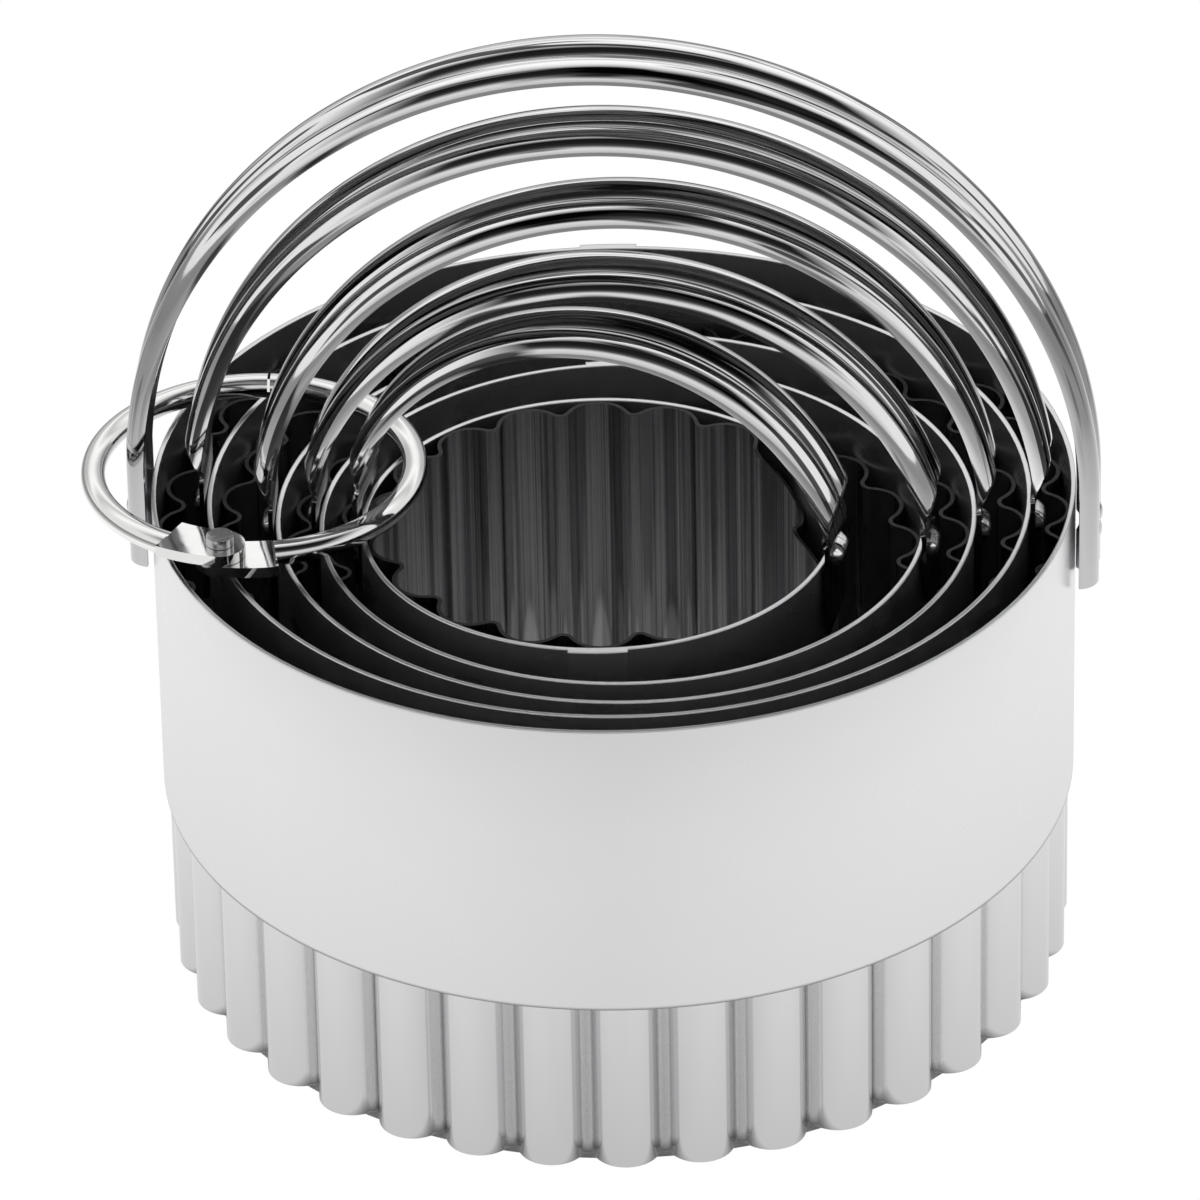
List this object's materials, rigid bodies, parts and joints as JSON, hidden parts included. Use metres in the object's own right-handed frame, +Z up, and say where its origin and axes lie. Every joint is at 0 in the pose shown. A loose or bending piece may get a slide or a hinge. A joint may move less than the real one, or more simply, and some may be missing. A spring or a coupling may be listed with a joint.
{
  "type": "fluted biscuit cutter set",
  "caption": "Nested round biscuit cutters, each a smooth band with a fluted cutting skirt and an arched beaded strap handle, kept together by a hinged wire ring.",
  "frame": {"origin": "under the middle of the set, on the plane of the cutting edges", "axes": "+X along the handles, towards their free legs (the keeper ring is on the -X side), +Y towards the back, +Z up"},
  "size_m": [0.097, 0.0894, 0.0973],
  "materials": {
    "band_sheet": "satin stainless sheet",
    "fluted_sheet": "satin stainless sheet",
    "handle_strap": "polished stainless strip",
    "ring_wire": "nickel-plated wire",
    "rivet": "peened steel"
  },
  "bodies": {
    "cutter_1": {"cutter_1_band": "band_sheet", "cutter_1_skirt": "fluted_sheet", "cutter_1_handle": "handle_strap"},
    "cutter_2": {"cutter_2_band": "band_sheet", "cutter_2_skirt": "fluted_sheet", "cutter_2_handle": "handle_strap"},
    "cutter_3": {"cutter_3_band": "band_sheet", "cutter_3_skirt": "fluted_sheet", "cutter_3_handle": "handle_strap"},
    "cutter_4": {"cutter_4_band": "band_sheet", "cutter_4_skirt": "fluted_sheet", "cutter_4_handle": "handle_strap"},
    "cutter_5": {"cutter_5_band": "band_sheet", "cutter_5_skirt": "fluted_sheet", "cutter_5_handle": "handle_strap"},
    "keeper_ring": {"keeper_half": "ring_wire", "keeper_rivet": "rivet"},
    "keeper_gate": {"keeper_gate": "ring_wire"}
  },
  "joints": [
    {"name": "swivel_2", "type": "hinge", "parent": "cutter_1", "child": "cutter_2", "pos_m": [0.00327, -0.0017, 0], "axis": [0, 0, 1], "range_deg": [-5, 8]},
    {"name": "swivel_3", "type": "hinge", "parent": "cutter_1", "child": "cutter_3", "pos_m": [0.00388, -0.00435, 0], "axis": [0, 0, 1], "range_deg": [-8, 8]},
    {"name": "swivel_4", "type": "hinge", "parent": "cutter_1", "child": "cutter_4", "pos_m": [0.00358, -0.00553, 0], "axis": [0, 0, 1], "range_deg": [-8, 4]},
    {"name": "swivel_5", "type": "hinge", "parent": "cutter_1", "child": "cutter_5", "pos_m": [0.0013, -0.00751, 0], "axis": [0, 0, 1], "range_deg": [-4, 4]},
    {"name": "ring_lift", "type": "slide", "parent": "cutter_1", "child": "keeper_ring", "axis": [0, 0, 1], "range_m": [0, 0.003]},
    {"name": "gate_swing", "type": "hinge", "parent": "keeper_ring", "child": "keeper_gate", "pos_m": [-0.03473, -0.01444, 0.0512], "axis": [0, 0, -1], "range_deg": [0, 80]}
  ]
}
